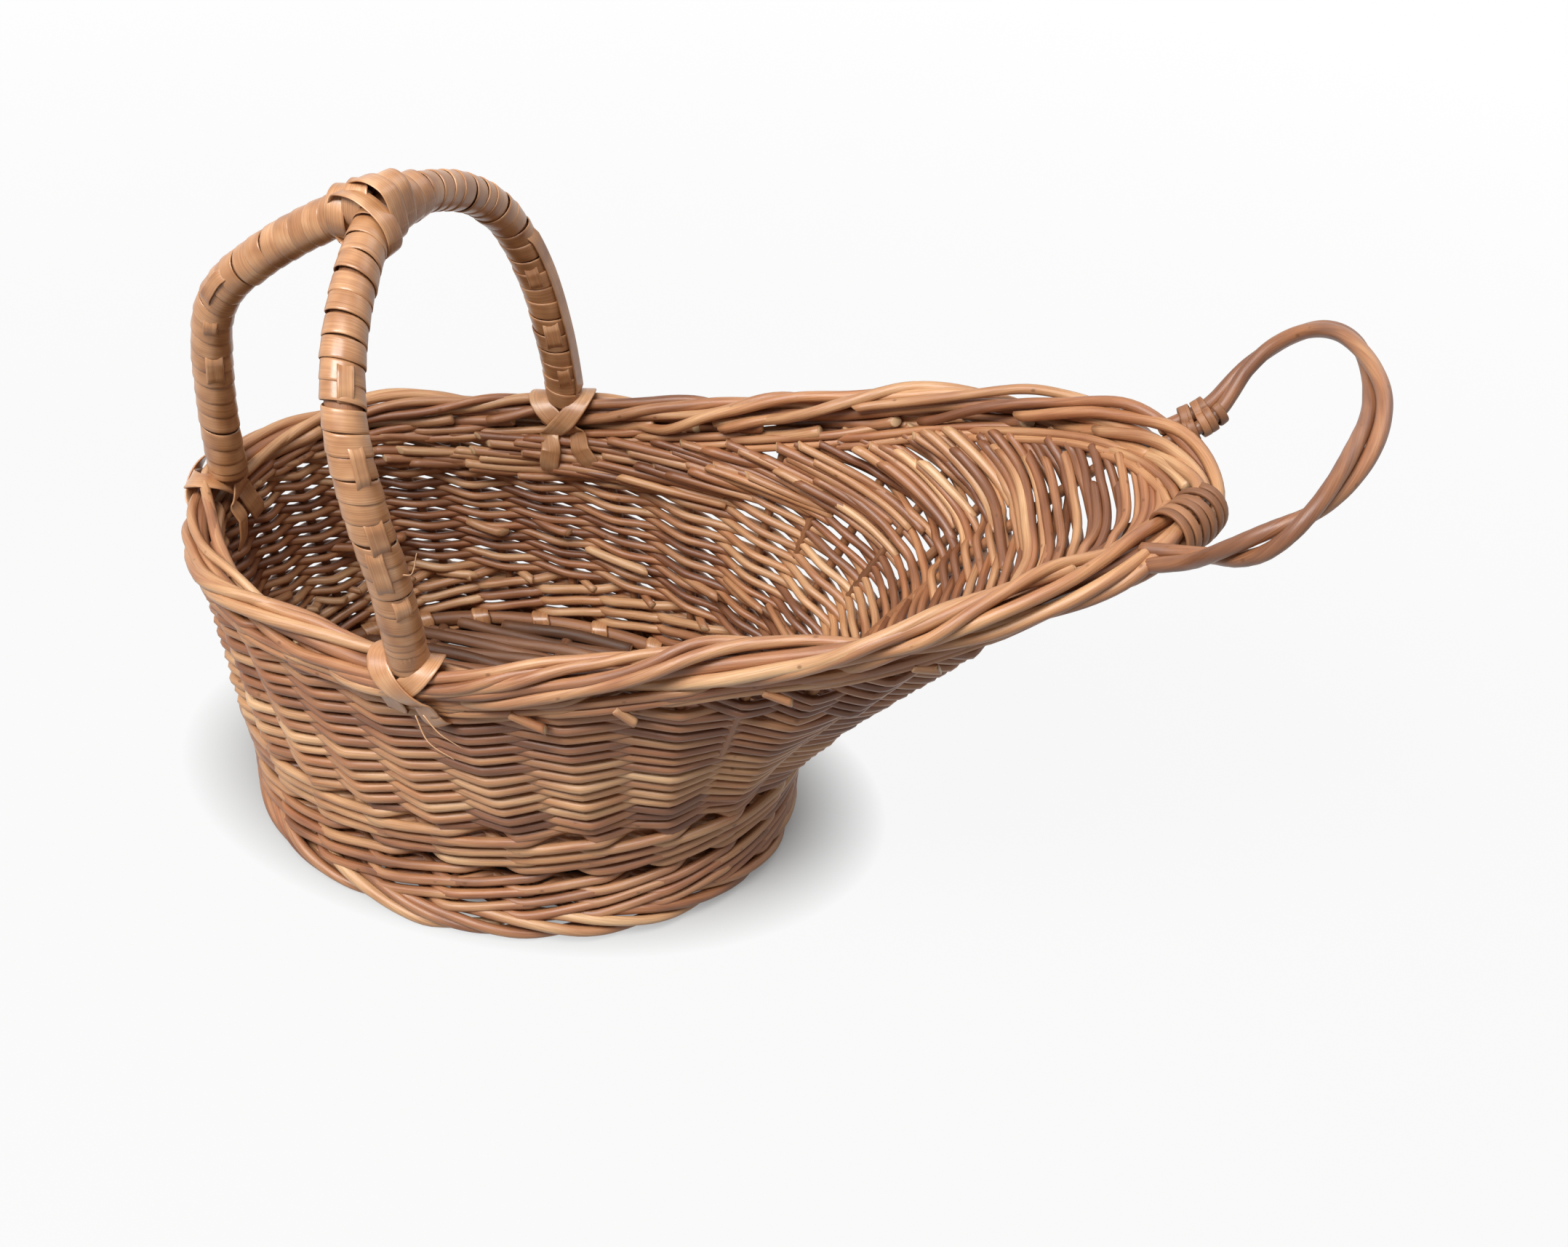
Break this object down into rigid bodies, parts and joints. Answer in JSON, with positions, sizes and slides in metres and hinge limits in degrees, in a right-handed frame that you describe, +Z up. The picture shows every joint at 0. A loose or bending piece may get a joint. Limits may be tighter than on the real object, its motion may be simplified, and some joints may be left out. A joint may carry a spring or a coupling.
{
  "type": "wine bottle basket",
  "caption": "Woven willow basket that cradles a wine bottle on its side for pouring, with a raised spout, a loop for the bottle's mouth and a cane-wrapped handle.",
  "frame": {"origin": "middle of the basket's bounding box in plan, on the surface that its foot stands on", "axes": "+X along the spout towards the bottle's mouth, +Y to the left of the spout, +Z up"},
  "size_m": [0.3442, 0.1484, 0.2218],
  "materials": {
    "willow_rod": "smooth buff willow rods, split and peeled, satin",
    "willow_stake": "smooth willow stakes, satin",
    "willow_floor": "willow rods, dull from use",
    "handle_core": "thick willow rod, satin",
    "split_cane": "split cane with a glossy skin"
  },
  "bodies": {
    "root": {"stake_1": "willow_stake", "stake_2": "willow_stake", "stake_3": "willow_stake", "stake_4": "willow_stake", "stake_5": "willow_stake", "stake_6": "willow_stake", "stake_7": "willow_stake", "stake_8": "willow_stake", "stake_9": "willow_stake", "stake_10": "willow_stake", "stake_11": "willow_stake", "stake_12": "willow_stake", "stake_13": "willow_stake", "stake_14": "willow_stake", "stake_15": "willow_stake", "stake_16": "willow_stake", "stake_17": "willow_stake", "stake_18": "willow_stake", "stake_19": "willow_stake", "stake_20": "willow_stake", "stake_21": "willow_stake", "stake_22": "willow_stake", "stake_23": "willow_stake", "stake_24": "willow_stake", "bye_stake_1": "willow_stake", "bye_stake_2": "willow_stake", "bye_stake_3": "willow_stake", "bye_stake_4": "willow_stake", "bye_stake_5": "willow_stake", "bye_stake_6": "willow_stake", "foot_wale": "willow_rod", "wall_wale": "willow_rod", "wall_weave": "willow_rod", "foot_border": "willow_rod", "rim_border": "willow_rod", "base_hoop": "handle_core", "hoop_lacing": "split_cane", "floor_rods": "willow_floor", "floor_stick_1": "willow_floor", "floor_stick_2": "willow_floor", "floor_stick_3": "willow_floor", "handle_bow": "handle_core", "handle_rear_leg": "handle_core", "wrap_near_leg": "split_cane", "wrap_far_leg": "split_cane", "wrap_rear_leg": "split_cane", "lap_near_under": "split_cane", "lap_near_over": "split_cane", "lap_far_under": "split_cane", "lap_far_over": "split_cane", "lap_rear_under": "split_cane", "lap_rear_over": "split_cane", "joint_lap_under": "split_cane", "joint_lap_over": "split_cane", "loop_rod_a": "willow_rod", "loop_rod_b": "willow_rod", "loop_binding": "willow_rod", "tip_binding": "willow_rod"}
  },
  "joints": []
}
